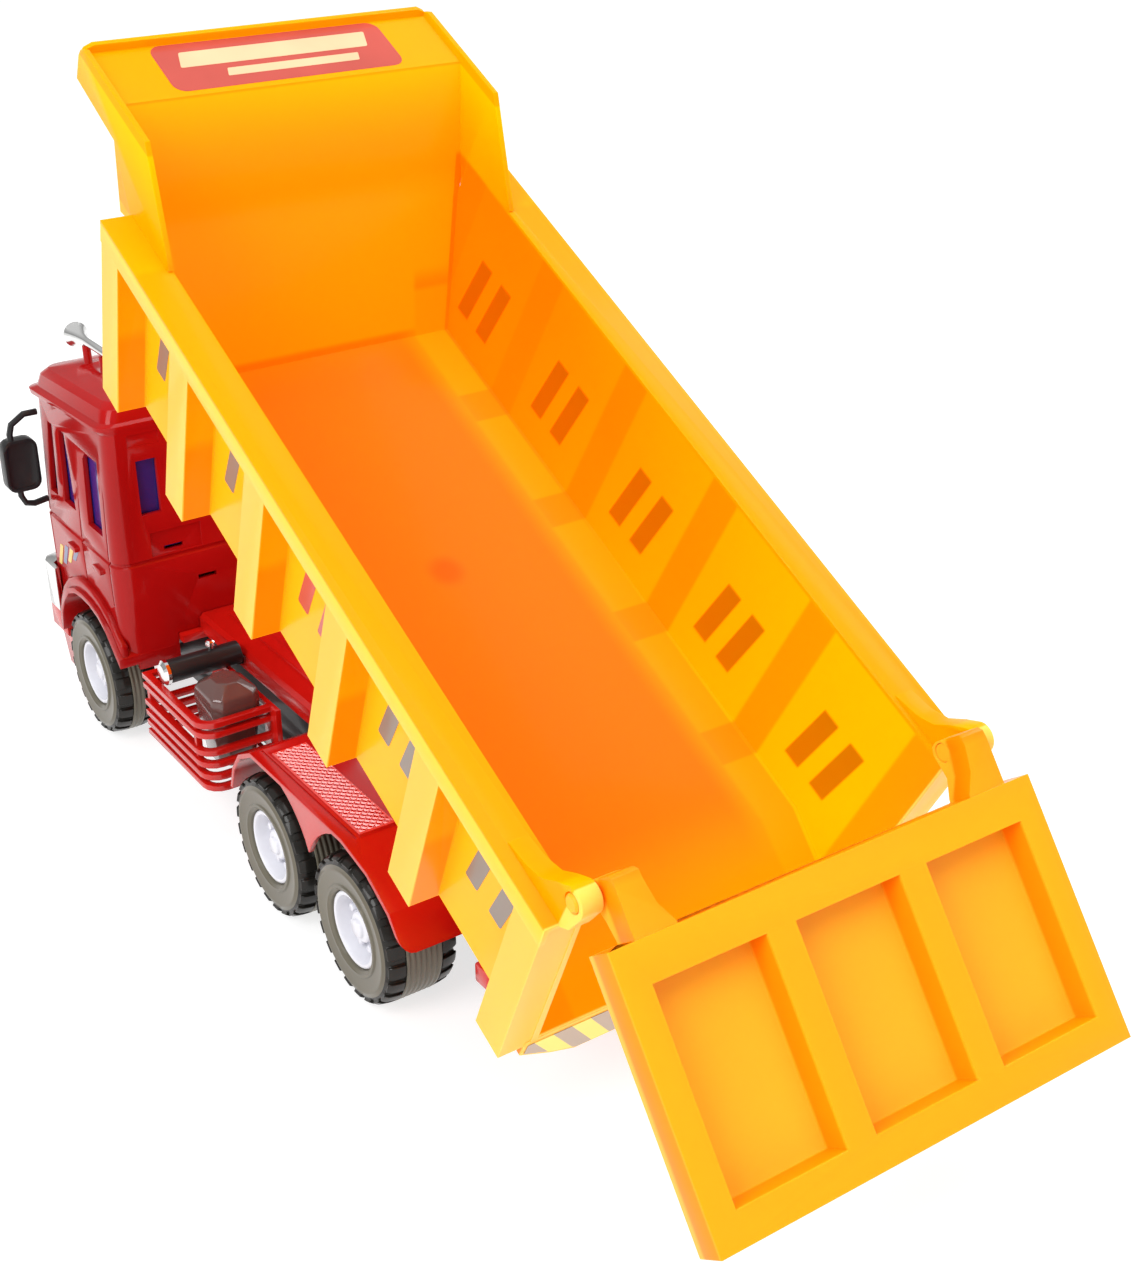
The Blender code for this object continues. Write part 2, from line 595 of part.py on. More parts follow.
pan = box("chassis_base", (-82.0, 318.0), (-BASE_HALF, BASE_HALF), (BASE_BOTTOM, 62.6))
cut(pan, box("hollow", (-79.8, 315.8), (-BASE_HALF + 2.2, BASE_HALF - 2.2), (BASE_BOTTOM + 2.2, 70.0)))
cut(pan, box("front_low", (228.0, 330.0), (-40.0, 40.0), (60.6, 70.0)))
for x in AXLES.values():
    cut(pan, rod("bore", "y", (x, TYRE_R), AXLE_R + 0.4, -40.0, 40.0, 14))
for x, y in SCREWS:
    cut(pan, rod("hole", "z", (x, y), 1.9, 20.0, 30.0, 10))
settle(pan, BLACK)
for i, (x, y) in enumerate(SCREWS):
    profile = [(0, 22.0), (2.2, 22.0), (3.1, 22.6), (3.2, 23.8), (1.35, 23.8), (1.35, 37.0), (0, 38.0)]
    screw = revolve("screw_%d" % (i + 1), profile, "z", (x, y), 10)
    cut(screw, box("cross", (x - 1.6, x + 1.6), (y - 0.35, y + 0.35), (21.0, 22.9)))
    settle(screw, STEEL)

pin = revolve("bed_hinge_pin", [(0, -33.0), (2.1, -33.0), (2.5, -32.5), (2.5, 32.5), (2.1, 33.0), (0, 33.0)], "y", PIVOT, 20)
settle(pin, STEEL)

# Rear bumper bar, bent round the tail of the pan
tail = prism("rear_bumper", [
    (-82.3, -33.3), (-66.0, -33.3), (-66.0, -61.0), (-76.0, -61.0), (-86.0, -48.0), (-88.0, -40.0),
    (-88.0, 40.0), (-86.0, 48.0), (-76.0, 61.0), (-66.0, 61.0), (-66.0, 33.3), (-82.3, 33.3),
], "z", 41.0, 50.0)
settle(tail, RED)

# Mudguards over the two rear axles, with a raised tread panel and a groove beside it
TOPLINE = [(-42.0, 45.0), (-31.0, 59.0), (-14.0, 69.5), (7.0, 74.5), (91.0, 74.5), (104.0, 67.5), (112.0, 57.0), (116.0, 45.0)]
UNDER = [(-39.6, 45.0), (-29.4, 57.5), (-13.0, 67.4), (7.4, 72.3), (90.4, 72.3), (102.4, 65.8), (109.9, 56.1), (113.6, 45.0)]
valley = arc((76.1, TYRE_R), 41.6, 155.0, 112.0, 6)
valley += [(62.5, 73.4), (13.6, 73.4)]
valley += arc((0.0, TYRE_R), 41.6, 68.0, 25.0, 6)
for side, word in ((1, "left"), (-1, "right")):
    band = TOPLINE + list(reversed(UNDER))
    near, far = (36.4, 78.5) if side > 0 else (-78.5, -36.4)
    guard = prism("mudguard_" + word, band, "y", near, far)
    near, far = (76.2, 78.5) if side > 0 else (-78.5, -76.2)
    add(guard, prism("valance", valley, "y", near, far))
    add(guard, box("plate", (4.0, 84.0), sorted((side * 54.0, side * 71.0)), (73.6, 75.1)))
    cut(guard, box("groove", (4.0, 90.0), sorted((side * 72.4, side * 73.4)), (73.7, 77.0)))
    settle(guard, RED)

# Side guards: six flat fins wrapped round an open cage
FIN_TOPS = (66.0, 60.7, 51.4, 45.7, 40.0, 34.8)
for side, word in ((1, "left"), (-1, "right")):
    near, far = sorted((side * 43.0, side * 45.2))
    cage = box("side_guard_" + word, (132.6, 204.6), (near, far), (30.0, 65.8))
    cut(cage, box("window", (146.0, 196.0), (near - 3.0, far + 3.0), (36.0, 60.0)))
    for i, top in enumerate(FIN_TOPS):
        shift = 0.0 if i < 3 else -1.6 * (i - 2)
        x0 = GUARD_X[0] + shift
        x1 = GUARD_X[1]
        outer = [(x1, 44.0), (x1, 81.2)] + arc((x0 + 9.0, 72.2), 9.0, 90, 180, 4) + [(x0, 44.0)]
        inner = [(x0 + 3.2, 44.0)] + arc((x0 + 9.0, 72.2), 5.8, 180, 90, 4) + [(x1 - 3.2, 78.0), (x1 - 3.2, 44.0)]
        fin = [(x, side * y) for x, y in outer + inner]
        add(cage, prism("fin", fin, "z", top - 2.4, top))
    for x in (140.6, 202.0):
        near, far = sorted((side * 77.2, side * 79.8))
        lean = 7.0 if x < 150 else 0.0
        add(cage, box("bar", (x + lean, x + lean + 2.2), (near, far), (33.4, 65.0)))
    settle(cage, RED)

    loops = []
    for z, inset in ((36.0, 3.0), (60.0, 0.6), (68.0, 0.0), (73.0, 0.6), (78.0, 6.5)):
        x0, x1 = 142.6 + inset, 170.4 - inset
        y0, y1 = 46.4 + inset, 71.4 - inset
        c = 4.0
        plan = [(x0 + c, y0), (x1 - c, y0), (x1, y0 + c), (x1, y1 - c), (x1 - c, y1), (x0 + c, y1), (x0, y1 - c), (x0, y0 + c)]
        loops.append([(x, side * y, z) for x, y in plan])
    settle(loft("fuel_tank_" + word, loops), SMOKE)

    cylinder = rod("air_tank_" + word, "y", (187.0, 72.4), 5.8, side * 38.0, side * 75.0, 24)
    add(cylinder, box("saddle", (184.5, 189.5), sorted((side * 36.4, side * 40.0)), (66.4, 72.0)))
    settle(cylinder, BLACK)
    profile = [(0, 75.3), (6.2, 75.3), (6.2, 77.0), (4.4, 78.4), (0, 78.8)]
    cap = revolve("air_tank_cap_" + word, [(r, side * y) for r, y in profile], "y", (187.0, 72.4), 24)
    settle(cap, CHROME)
    knob = revolve("filler_knob_" + word, [(0, 78.4), (1.4, 78.4), (1.4, 79.6), (2.3, 80.2), (2.3, 82.0), (1.4, 82.8), (0, 82.8)], "z", (187.0, side * 52.0), 12)
    settle(knob, CHROME)

# Wheels: each axle carries two hubs and two tyres with lugged shoulders
for name, x in AXLES.items():
    width = WIDTH[name]
    body = "axle_" + name
    bar = revolve(body, [(0, -73.6), (1.8, -73.6), (AXLE_R, -73.2), (AXLE_R, 73.2), (1.8, 73.6), (0, 73.6)], "y", (x, TYRE_R), 14)
    settle(bar, STEEL, (x, 0, TYRE_R))
    for side, word in ((1, "left"), (-1, "right")):
        back = WHEEL_OUT - width
        rows = [
            (SEAT_R, SEAT_R, back + 1.5),
            (27.3, 27.3, back + 0.2),
            (31.6, 29.4, back + 1.2),
            (33.5, 31.2, back + 6.0),
            (33.5, 33.5, back + 8.4),
            (33.5, 33.5, WHEEL_OUT - 8.4),
            (33.5, 31.2, WHEEL_OUT - 6.0),
            (31.6, 29.4, WHEEL_OUT - 1.2),
            (27.3, 27.3, WHEEL_OUT),
            (24.0, 24.0, WHEEL_OUT - 0.9),
            (SEAT_R, SEAT_R, WHEEL_OUT - 0.9),
        ]
        loops = []
        for i in range(2 * LUGS):
            angle = math.tau * (i + 0.5) / (2 * LUGS)
            loop = []
            for k, (lug, gap, y) in enumerate(rows):
                raised = i % 2 == (0 if k < 5 else 1)
                radius = lug if raised else gap
                loop.append((x + radius * math.cos(angle), side * y, TYRE_R + radius * math.sin(angle)))
            loops.append(loop)
        settle(loft("tyre_" + name + "_" + word, loops, ring=True), TYRE, (x, 0, TYRE_R))
        face = WHEEL_OUT - 1.8
        profile = [
            (0, face - 1.0), (4.6, face - 1.0), (5.6, face - 2.2), (8.2, face - 2.6), (9.0, face - 7.2),
            (14.0, face - 8.0), (15.0, face - 1.2), (15.6, face), (17.3, face - 0.4), (17.3, back + 3.0),
            (15.2, back + 3.0), (15.2, face - 10.6), (6.0, face - 10.6), (6.0, back + 3.0), (2.35, back + 3.0),
            (2.35, 73.9), (0, 73.9),
        ]
        hub = revolve("hub_" + name + "_" + word, [(r, side * y) for r, y in profile], "y", (x, TYRE_R), 22)
        settle(hub, WHITE, (x, 0, TYRE_R))
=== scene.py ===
import math

import bpy
from mathutils import Matrix, Vector


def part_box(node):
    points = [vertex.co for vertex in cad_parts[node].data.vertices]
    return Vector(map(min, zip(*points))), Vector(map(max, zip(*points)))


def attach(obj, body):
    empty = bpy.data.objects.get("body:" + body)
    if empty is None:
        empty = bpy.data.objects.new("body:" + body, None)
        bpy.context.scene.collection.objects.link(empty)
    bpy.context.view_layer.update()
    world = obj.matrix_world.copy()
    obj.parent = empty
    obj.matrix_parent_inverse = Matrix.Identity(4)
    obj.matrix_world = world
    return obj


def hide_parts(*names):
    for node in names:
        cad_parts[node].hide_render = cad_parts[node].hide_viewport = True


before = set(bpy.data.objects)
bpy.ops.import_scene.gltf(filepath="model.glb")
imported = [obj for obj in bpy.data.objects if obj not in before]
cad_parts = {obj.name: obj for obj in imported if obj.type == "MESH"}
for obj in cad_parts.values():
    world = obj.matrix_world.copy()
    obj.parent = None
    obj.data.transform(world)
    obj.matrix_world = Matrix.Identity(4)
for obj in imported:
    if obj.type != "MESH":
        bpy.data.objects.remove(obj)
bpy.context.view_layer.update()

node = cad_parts

# Studio: a floor that glows white like a light table, so that the toy throws almost no shadow,
# under a grey room. Two broad lamps light the near side and the top, a third the far side.
bpy.ops.object.select_all(action="DESELECT")
bpy.ops.mesh.primitive_plane_add(size=24.0, location=(0, 0, -0.0002))
floor = bpy.context.object
floor.name = "floor"
floor_paint = bpy.data.materials.new("floor_paint")
floor_paint.use_nodes = True
floor_shader = floor_paint.node_tree.nodes["Principled BSDF"]
floor_shader.inputs["Base Color"].default_value = (0.42, 0.42, 0.42, 1)
floor_shader.inputs["Roughness"].default_value = 0.9
floor_shader.inputs["Emission Color"].default_value = (1, 1, 1, 1)
floor_shader.inputs["Emission Strength"].default_value = 0.72
floor.data.materials.append(floor_paint)

room = bpy.data.worlds.new("room")
room.use_nodes = True
sky_where = room.node_tree.nodes.new("ShaderNodeTexCoord")
sky_split = room.node_tree.nodes.new("ShaderNodeSeparateXYZ")
sky_ramp = room.node_tree.nodes.new("ShaderNodeValToRGB")
sky_ramp.color_ramp.elements[0].position = 0.13
sky_ramp.color_ramp.elements[0].color = (0.93, 0.93, 0.93, 1)
sky_ramp.color_ramp.elements[1].position = 0.8
sky_ramp.color_ramp.elements[1].color = (0.72, 0.72, 0.72, 1)
sky_ramp.color_ramp.elements.new(0.23).color = (0.30, 0.30, 0.30, 1)
room_links = room.node_tree.links
room_links.new(sky_where.outputs["Generated"], sky_split.inputs["Vector"])
room_links.new(sky_split.outputs["Z"], sky_ramp.inputs["Fac"])
room_links.new(sky_ramp.outputs["Color"], room.node_tree.nodes["Background"].inputs["Color"])
bpy.context.scene.world = room
bpy.context.scene.view_settings.view_transform = "Standard"

for name, place, power, size in (
    ("lamp_left", (-0.5, 1.6, 1.5), 31.0, 1.2),
    ("lamp_top", (-0.4, -0.2, 2.0), 18.0, 1.4),
    ("lamp_right", (0.3, -1.8, 1.3), 14.0, 1.3),
):
    lamp = bpy.data.lights.new(name, "AREA")
    lamp.energy = power
    lamp.size = size
    lamp_object = bpy.data.objects.new(name, lamp)
    lamp_object.location = place
    towards_toy = Vector((0, 0, 0.1)) - Vector(place)
    lamp_object.rotation_euler = towards_toy.to_track_quat("-Z", "Y").to_euler()
    bpy.context.scene.collection.objects.link(lamp_object)

lens = bpy.data.cameras.new("camera")
lens.sensor_width = 36.0
lens.lens = 52.83
lens.shift_x = 0.0178
lens.shift_y = 0.0037
lens.clip_start = 0.01
camera = bpy.data.objects.new("camera", lens)
to_right = Vector((-0.5610, -0.8278, -0.0111))
to_top = Vector((0.3699, -0.2626, 0.8912))
back = to_right.cross(to_top)
aim = Matrix((to_right, to_top, back)).transposed().to_4x4()
camera.matrix_world = Matrix.Translation((-0.6156, 0.3636, 0.4904)) @ aim
bpy.context.scene.collection.objects.link(camera)
bpy.context.scene.camera = camera


# Chassis: a red deck with a raised spine over a black pan, both injection moulded and
# screwed together from below. The red is a glossy styrene with faint flow marks.
def moulded_plastic(name, colour, rough, grain=0.05, cloud=0.10, coat=0.3, glow=0.0, shine=0.12):
    """A plastic with cloudy flow marks in its tint and polish, and a fine moulded grain."""
    made = bpy.data.materials.new(name)
    made.use_nodes = True
    nodes = made.node_tree.nodes
    links = made.node_tree.links
    shader = nodes["Principled BSDF"]
    where = nodes.new("ShaderNodeTexCoord")
    flow = nodes.new("ShaderNodeTexNoise")
    flow.inputs["Scale"].default_value = 22.0
    flow.inputs["Detail"].default_value = 3.0
    tint = nodes.new("ShaderNodeValToRGB")
    dark = [c * (1.0 - cloud) for c in colour]
    light = [min(1.0, c * (1.0 + cloud)) for c in colour]
    tint.color_ramp.elements[0].position = 0.3
    tint.color_ramp.elements[0].color = (*dark, 1)
    tint.color_ramp.elements[1].position = 0.7
    tint.color_ramp.elements[1].color = (*light, 1)
    polish = nodes.new("ShaderNodeMapRange")
    polish.inputs["To Min"].default_value = rough * 0.8
    polish.inputs["To Max"].default_value = rough * 1.25
    texture = nodes.new("ShaderNodeTexNoise")
    texture.inputs["Scale"].default_value = 900.0
    relief = nodes.new("ShaderNodeBump")
    relief.inputs["Strength"].default_value = grain
    relief.inputs["Distance"].default_value = 0.0003
    links.new(where.outputs["Object"], flow.inputs["Vector"])
    links.new(where.outputs["Object"], texture.inputs["Vector"])
    links.new(flow.outputs["Fac"], tint.inputs["Fac"])
    links.new(flow.outputs["Fac"], polish.inputs["Value"])
    links.new(tint.outputs["Color"], shader.inputs["Base Color"])
    links.new(polish.outputs["Result"], shader.inputs["Roughness"])
    links.new(texture.outputs["Fac"], relief.inputs["Height"])
    links.new(relief.outputs["Normal"], shader.inputs["Normal"])
    shader.inputs["Coat Weight"].default_value = coat
    shader.inputs["Coat Roughness"].default_value = 0.12
    shader.inputs["Specular IOR Level"].default_value = shine
    shader.inputs["Subsurface Weight"].default_value = glow
    shader.inputs["Subsurface Radius"].default_value = (0.004, 0.0015, 0.0008)
    shader.inputs["Subsurface Scale"].default_value = 1.0
    return made


def round_edges(source, name, body, look, width,
                segments=2, angle=32, lips=(), fatten=0.0):
    """A copy of a solid with its moulded edges rounded, which stands for it. Each lip is a
    test and a width: edges whose two ends pass the test are rounded first, that widely."""
    piece = node[source].copy()
    piece.data = node[source].data.copy()
    for key in list(piece.keys()):
        del piece[key]
    piece.parent = None
    piece.name = name
    bpy.context.scene.collection.objects.link(piece)
    bpy.ops.object.select_all(action="DESELECT")
    piece.select_set(True)
    bpy.context.view_layer.objects.active = piece
    bpy.ops.mesh.customdata_custom_splitnormals_clear()
    bpy.ops.object.mode_set(mode="EDIT")
    bpy.ops.mesh.select_all(action="SELECT")
    bpy.ops.mesh.remove_doubles(threshold=0.00002)
    bpy.ops.mesh.dissolve_limited(angle_limit=math.radians(1.0))
    for is_rim, lip_width in lips:
        bpy.ops.mesh.select_mode(type="EDGE")
        bpy.ops.mesh.select_all(action="DESELECT")
        bpy.ops.object.mode_set(mode="OBJECT")
        for rim in piece.data.edges:
            rim.select = all(is_rim(piece.data.vertices[i].co) for i in rim.vertices)
        bpy.ops.object.mode_set(mode="EDIT")
        bpy.ops.mesh.bevel(offset=lip_width, segments=4, affect="EDGES", clamp_overlap=True)
    if fatten:
        bpy.ops.mesh.select_all(action="SELECT")
        bpy.ops.transform.shrink_fatten(value=fatten)
    bpy.ops.object.mode_set(mode="OBJECT")
    edge = piece.modifiers.new("Edge", "BEVEL")
    edge.width = width
    edge.segments = segments
    edge.limit_method = "ANGLE"
    edge.angle_limit = math.radians(angle)
    bpy.ops.object.modifier_apply(modifier="Edge")
    bpy.ops.object.shade_smooth_by_angle(angle=math.radians(35))
    piece.data.materials.clear()
    piece.data.materials.append(look)
    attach(piece, body)
    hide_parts(source)
    return piece


red_plastic = moulded_plastic("red_plastic", (0.50, 0.007, 0.004), 0.22, coat=0.35, shine=0.45)
black_plastic = moulded_plastic("black_plastic", (0.016, 0.016, 0.017), 0.42, grain=0.12)
round_edges("chassis_top", "deck", "chassis", red_plastic, 0.0006)
round_edges("chassis_base", "pan", "chassis", black_plastic, 0.0006)
round_edges("rear_bumper", "tail_bar", "chassis", red_plastic, 0.0012)

# Screws and pins: seven screws hold the pan to the deck, one pin carries the bed and three
# axles the wheels. All are plain zinc-plated steel, faintly brushed.
steel = bpy.data.materials.new("zinc_steel")
steel.use_nodes = True
steel_shader = steel.node_tree.nodes["Principled BSDF"]
steel_where = steel.node_tree.nodes.new("ShaderNodeTexCoord")
steel_brush = steel.node_tree.nodes.new("ShaderNodeTexNoise")
steel_brush.inputs["Scale"].default_value = 700.0
steel_range = steel.node_tree.nodes.new("ShaderNodeMapRange")
steel_range.inputs["To Min"].default_value = 0.2
steel_range.inputs["To Max"].default_value = 0.45
steel.node_tree.links.new(steel_where.outputs["Object"], steel_brush.inputs["Vector"])
steel.node_tree.links.new(steel_brush.outputs["Fac"], steel_range.inputs["Value"])
steel.node_tree.links.new(steel_range.outputs["Result"], steel_shader.inputs["Roughness"])
steel_shader.inputs["Base Color"].default_value = (0.56, 0.56, 0.57, 1)
steel_shader.inputs["Metallic"].default_value = 1.0
steel_nodes = ["screw_%d" % i for i in range(1, 8)]
steel_nodes += ["bed_hinge_pin", "axle_front", "axle_rear_1", "axle_rear_2"]
for name in steel_nodes:
    node[name].data.materials.clear()
    node[name].data.materials.append(steel)

# Mudguards: red mouldings over the rear wheels, each with a lip that flares out round the
# arches and a tread plate of crossed ridges on top.
def on_outer_rim(point):
    return abs(point.y) > 0.0783


def on_tail_corner(point):
    return on_outer_rim(point) and point.x < -0.0835 and point.z < 0.0453


# The ridges are painted a lighter, pinker red than the mudguard: a painted highlight for the gloss
# they catch.
tread_highlight_red = moulded_plastic("tread_highlight_red", (0.72, 0.075, 0.06), 0.2, coat=0.6, shine=0.6)
for side, word in ((1, "left"), (-1, "right")):
    low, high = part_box("mudguard_" + word)
    round_edges("mudguard_" + word, "mudguard_cover_" + word, "chassis",
                red_plastic, 0.0005, lips=((on_tail_corner, 0.0055), (on_outer_rim, 0.0010)))
    bpy.ops.object.select_all(action="DESELECT")
    plate_x = (low.x + 0.047, low.x + 0.125)
    plate_y = (0.0545, 0.0705)
    middle = ((plate_x[0] + plate_x[1]) / 2, side * (plate_y[0] + plate_y[1]) / 2, high.z + 0.0001)
    bpy.ops.mesh.primitive_grid_add(x_subdivisions=38, y_subdivisions=38, size=0.1, location=middle)
    tread = bpy.context.object
    tread.name = "tread_plate_" + word
    bpy.ops.object.mode_set(mode="EDIT")
    bpy.ops.mesh.select_all(action="SELECT")
    bpy.ops.transform.rotate(value=math.radians(45), orient_axis="Z", center_override=middle)
    across_plate = sorted((side * plate_y[0], side * plate_y[1]))
    for axis, limits in ((Vector((1, 0, 0)), plate_x), (Vector((0, 1, 0)), across_plate)):
        for limit, sign in ((limits[0], -1), (limits[1], 1)):
            bpy.ops.mesh.select_all(action="SELECT")
            bpy.ops.mesh.bisect(plane_co=axis * limit, plane_no=axis * sign, clear_outer=True)
    bpy.ops.object.mode_set(mode="OBJECT")
    bpy.ops.object.transform_apply(location=True, rotation=True, scale=True)
    lattice = tread.modifiers.new("Ridges", "WIREFRAME")
    lattice.thickness = 0.0011
    lattice.use_boundary = True
    bpy.ops.object.modifier_apply(modifier="Ridges")
    tread.data.materials.append(tread_highlight_red)
    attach(tread, "chassis")

# Side guards: a red cage of fins on each side of the deck, which holds a tank of smoked clear
# plastic and a black air cylinder. The cylinder's cap and the filler knob are chrome plated.
plated = bpy.data.materials.new("chrome_plate")
plated.use_nodes = True
plated_shader = plated.node_tree.nodes["Principled BSDF"]
plated_where = plated.node_tree.nodes.new("ShaderNodeTexCoord")
plated_haze = plated.node_tree.nodes.new("ShaderNodeTexNoise")
plated_haze.inputs["Scale"].default_value = 120.0
plated_range = plated.node_tree.nodes.new("ShaderNodeMapRange")
plated_range.inputs["To Min"].default_value = 0.05
plated_range.inputs["To Max"].default_value = 0.2
plated.node_tree.links.new(plated_where.outputs["Object"], plated_haze.inputs["Vector"])
plated.node_tree.links.new(plated_haze.outputs["Fac"], plated_range.inputs["Value"])
plated.node_tree.links.new(plated_range.outputs["Result"], plated_shader.inputs["Roughness"])
plated_shader.inputs["Base Color"].default_value = (0.78, 0.78, 0.77, 1)
plated_shader.inputs["Metallic"].default_value = 1.0
smoked_plastic = moulded_plastic("smoked_plastic", (0.16, 0.085, 0.075), 0.14, grain=0.02, coat=0.8)
smoked_plastic.node_tree.nodes["Principled BSDF"].inputs["Transmission Weight"].default_value = 0.25
for word in ("left", "right"):
    round_edges("side_guard_" + word, "finned_guard_" + word, "chassis",
                red_plastic, 0.0005, fatten=0.0003)
    round_edges("fuel_tank_" + word, "smoked_tank_" + word, "chassis",
                smoked_plastic, 0.0010, 3, 20)
    round_edges("air_tank_" + word, "air_cylinder_" + word, "chassis",
                black_plastic, 0.0005)
    for name in ("air_tank_cap_", "filler_knob_"):
        node[name + word].data.materials.clear()
        node[name + word].data.materials.append(plated)

# Cab: one glossy red shell with a dark blue insert behind its window openings, pressed on to
# the deck. Grille and horns are chrome plated; the mirrors are black plastic arms.
cab_red = moulded_plastic("cab_red_plastic", (0.37, 0.0045, 0.0045), 0.15,
                          grain=0.02, coat=0.14, shine=0.15)
round_edges("cab_shell", "cab", "chassis", cab_red, 0.0007)
blue_glazing = moulded_plastic("blue_glazing", (0.020, 0.018, 0.20), 0.10,
                               grain=0.0, cloud=0.25, coat=1.0)
node["cab_glazing"].data.materials.clear()
node["cab_glazing"].data.materials.append(blue_glazing)
round_edges("front_bumper", "bumper", "chassis", red_plastic, 0.0010)
round_edges("front_grille", "grille", "chassis", plated, 0.0004)
for word in ("left", "right"):
    round_edges("mirror_" + word, "mirror_arm_" + word, "chassis",
                black_plastic, 0.0006)
    round_edges("horn_" + word, "roof_horn_" + word, "chassis", plated, 0.0002)

# Bed: one large tub of orange-yellow plastic, thin enough for light to come through. Its floor has
# a painted red glow where the red chassis shines up through it; the sides stay paler, in painted
# light.
bed_tilt = math.radians(27.04)
bay_pitch = 0.068
post_middle = 0.0161
bay_middle = 0.0501
bed_plastic = bpy.data.materials.new("bed_plastic")
bed_plastic.use_nodes = True
bed_nodes = bed_plastic.node_tree.nodes
bed_links = bed_plastic.node_tree.links
bed_shader = bed_nodes["Principled BSDF"]
bed_where = bed_nodes.new("ShaderNodeTexCoord")
bed_axes = bed_nodes.new("ShaderNodeMapping")
bed_axes.inputs["Rotation"].default_value = (0, bed_tilt, 0)
bed_axes.inputs["Location"].default_value = (0.06568, 0, -0.12581)
bed_split = bed_nodes.new("ShaderNodeSeparateXYZ")
bed_links.new(bed_where.outputs["Object"], bed_axes.inputs["Vector"])
bed_links.new(bed_axes.outputs["Vector"], bed_split.inputs["Vector"])


def step_mask(value, start, end):
    """Falls smoothly from 1 at start to 0 at end, or rises if end is below start."""
    made = bed_nodes.new("ShaderNodeMapRange")
    made.interpolation_type = "SMOOTHSTEP"
    made.inputs["From Min"].default_value = min(start, end)
    made.inputs["From Max"].default_value = max(start, end)
    made.inputs["To Min"].default_value = 1.0 if start < end else 0.0
    made.inputs["To Max"].default_value = 0.0 if start < end else 1.0
    bed_links.new(value, made.inputs["Value"])
    return made.outputs["Result"]


def work(kind, value, *others):
    """A maths node; the others may be numbers or sockets."""
    made = bed_nodes.new("ShaderNodeMath")
    made.operation = kind
    bed_links.new(value, made.inputs[0])
    for slot, other in zip(made.inputs[1:], others):
        if isinstance(other, float):
            slot.default_value = other
        else:
            bed_links.new(other, slot)
    return made.outputs["Value"]


def both(first, *others):
    """Where every one of these masks is up."""
    for other in others:
        first = work("MULTIPLY", first, other)
    return first


def paint(base, mask, colour, share=1.0):
    """Lays a colour over another one where the mask is up."""
    made = bed_nodes.new("ShaderNodeMix")
    made.data_type = "RGBA"
    made.inputs[7].default_value = (*colour, 1)
    if isinstance(base, tuple):
        made.inputs[6].default_value = (*base, 1)
    else:
        bed_links.new(base, made.inputs[6])
    bed_links.new(work("MULTIPLY", mask, share), made.inputs[0])
    return made.outputs[2]


# Along, across and height are measured from the bed's floor; wall is the distance from the
# middle once the lean of the side walls is taken out.
along, sideways, height = (bed_split.outputs[axis] for axis in "XYZ")
across = work("ABSOLUTE", sideways)
wall = work("MULTIPLY_ADD", height, -0.0865, across)
from_post = work("PINGPONG", work("ADD", along, -post_middle), bay_pitch / 2)
bar_lean = work("MULTIPLY_ADD", height, 0.15, work("ADD", along, -bay_middle - 0.00735))
from_bar = work("ABSOLUTE", work("WRAP", bar_lean, bay_pitch / 2, -bay_pitch / 2))
on_floor = step_mask(height, 0.0205, 0.0235)
under_rail = step_mask(height, 0.0940, 0.0950)
inner_wall = both(step_mask(wall, 0.0728, 0.0732), step_mask(height, 0.0935, 0.0965),
                  step_mask(wall, 0.0700, 0.0690))
glow = both(step_mask(across, 0.044, 0.058), step_mask(along, 0.250, 0.310),
            step_mask(along, 0.0, -0.045), on_floor)
post_shade = both(step_mask(from_post, 0.0075, 0.0095), inner_wall)
bar_shade = step_mask(work("ABSOLUTE", work("ADD", from_bar, -0.0085)), 0.0040, 0.0052)
bar_shade = both(bar_shade, step_mask(height, 0.0640, 0.0660),
                 step_mask(height, 0.0340, 0.0320), inner_wall)
rail = both(step_mask(height, 0.0950, 0.0940), step_mask(height, 0.1090, 0.1120),
            step_mask(across, 0.0798, 0.0788), step_mask(along, 0.2600, 0.2640))
spot = bed_nodes.new("ShaderNodeVectorMath")
spot.operation = "DISTANCE"
spot.inputs[1].default_value = (0.137, 0.003, 0.019)
bed_links.new(bed_axes.outputs["Vector"], spot.inputs[0])
ledge = both(step_mask(across, 0.0565, 0.0535), step_mask(height, 0.040, 0.050))
colour = paint((1.0, 0.33, 0.0), on_floor, (1.0, 0.27, 0.0))
# Painted light: the middle of the floor is painted red where the red chassis shines up through the
# plastic; the glow mask marks it.
colour = paint(colour, glow, (1.0, 0.165, 0.0))
colour = paint(colour, step_mask(spot.outputs["Value"], 0.003, 0.011), (0.55, 0.08, 0.0), 0.55)
# Painted light: the strips between the floor's middle and the walls are paler and yellower, lit
# from the white floor below; painted shade of the posts crosses them.
colour = paint(colour, ledge, (1.0, 0.30, 0.0))
colour = paint(colour, both(ledge, step_mask(from_post, 0.0078, 0.0092)), (1.0, 0.19, 0.0), 0.6)
# Painted light and shade: the inner faces of the side walls are darker near the headboard and paler
# towards the rear.
colour = paint(colour, inner_wall, (1.0, 0.20, 0.0))
colour = paint(colour, both(step_mask(along, -0.04, 0.27), inner_wall), (1.0, 0.44, 0.0), 0.9)
# Painted light: above the rail the plastic grows paler towards the top; the canopy's top face then
# gets a darker orange of its own.
colour = paint(colour, step_mask(height, 0.160, 0.100), (1.0, 0.54, 0.0), 0.9)
colour = paint(colour, step_mask(height, 0.1316, 0.1306), (1.0, 0.31, 0.0))
colour = paint(colour, post_shade, (1.0, 0.17, 0.0), 0.6)
colour = paint(colour, bar_shade, (0.30, 0.085, 0.0), 0.8)
colour = paint(colour, rail, (1.0, 0.29, 0.0))
